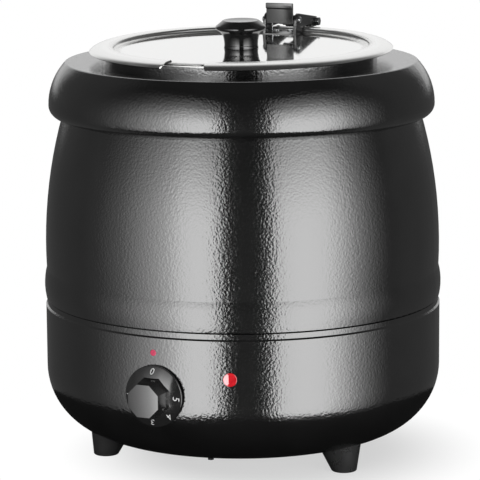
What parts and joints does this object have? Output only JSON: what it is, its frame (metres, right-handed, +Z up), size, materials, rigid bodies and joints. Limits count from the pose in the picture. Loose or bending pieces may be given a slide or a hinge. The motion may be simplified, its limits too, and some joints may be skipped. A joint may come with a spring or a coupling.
{
  "type": "soup kettle",
  "caption": "Round table-top soup kettle: bulged hammertone casing on feet, lift-out pot in a heated water pan, hinged lid with a ladle notch, thermostat dial and pilot lamp.",
  "frame": {"origin": "on the kettle's axis, on the plane that the feet stand on", "axes": "+Z up, -Y towards the front with the dial and the lamp, +X to the right seen from the front"},
  "size_m": [0.3399, 0.3872, 0.376],
  "materials": {
    "black_hammertone": "glossy hammertone paint",
    "polished_steel": "mirror polished",
    "satin_steel": "satin",
    "zinc_steel": "zinc plated",
    "element_steel": "dull",
    "plate_aluminium": "rolled",
    "copper": "bright",
    "black_plastic": "gloss",
    "black_enamel": "gloss enamel",
    "foot_plastic": "matte",
    "grey_plastic": "matte",
    "white_plastic": "matte",
    "lamp_red": "clear red"
  },
  "bodies": {
    "kettle_body": {"collar_ring": "black_hammertone", "barrel_wall": "black_hammertone", "base_bowl": "black_hammertone", "bottom_plate": "zinc_steel", "plate_screws": "zinc_steel", "foot_front_left": "foot_plastic", "foot_front_right": "foot_plastic", "foot_rear": "foot_plastic", "foot_screws": "zinc_steel", "foot_nuts": "zinc_steel", "water_pan": "satin_steel", "heating_ring": "element_steel", "element_plate": "plate_aluminium", "element_nut": "zinc_steel", "tie_rods": "zinc_steel", "tie_nuts": "zinc_steel", "thermostat_body": "grey_plastic", "thermostat_screws": "zinc_steel", "sensing_bulb": "copper", "thermal_cutout": "grey_plastic", "terminal_block": "white_plastic", "cord_gland": "black_plastic", "gland_nut": "black_plastic", "pilot_lamp_lens": "lamp_red", "pilot_lamp_body": "white_plastic", "pilot_lamp_nut": "zinc_steel"},
    "control_dial": {"control_dial": "black_plastic", "thermostat_shaft": "zinc_steel"},
    "soup_pot": {"soup_pot": "satin_steel", "rim_clip": "satin_steel", "hinge_bolt": "zinc_steel", "hinge_nut": "zinc_steel"},
    "lid": {"lid_disc": "polished_steel", "lid_knob": "black_plastic", "knob_screw": "zinc_steel", "hinge_bracket": "black_enamel", "bracket_rivets": "zinc_steel", "lever_pin": "zinc_steel", "lever_spring": "zinc_steel"},
    "release_lever": {"release_lever": "black_enamel"}
  },
  "joints": [
    {"name": "dial_turn", "type": "hinge", "parent": "kettle_body", "child": "control_dial", "pos_m": [-0.02723, -0.17793, 0.0813], "axis": [0.1513, 0.9885, 0], "range_deg": [0, 260]},
    {"name": "pot_lift", "type": "slide", "parent": "kettle_body", "child": "soup_pot", "axis": [0, 0, 1], "range_m": [0, 0.28]},
    {"name": "lid_hinge", "type": "hinge", "parent": "soup_pot", "child": "lid", "pos_m": [0.01379, 0.13815, 0.35568], "axis": [-0.9951, 0.0993, 0], "range_deg": [0, 95]},
    {"name": "lever_press", "type": "hinge", "parent": "lid", "child": "release_lever", "pos_m": [0.00951, 0.09524, 0.36114], "axis": [0.9951, -0.0993, 0], "range_deg": [0, 15], "stiffness_Nm_per_rad": 0.06, "springref_deg": -17.19}
  ]
}
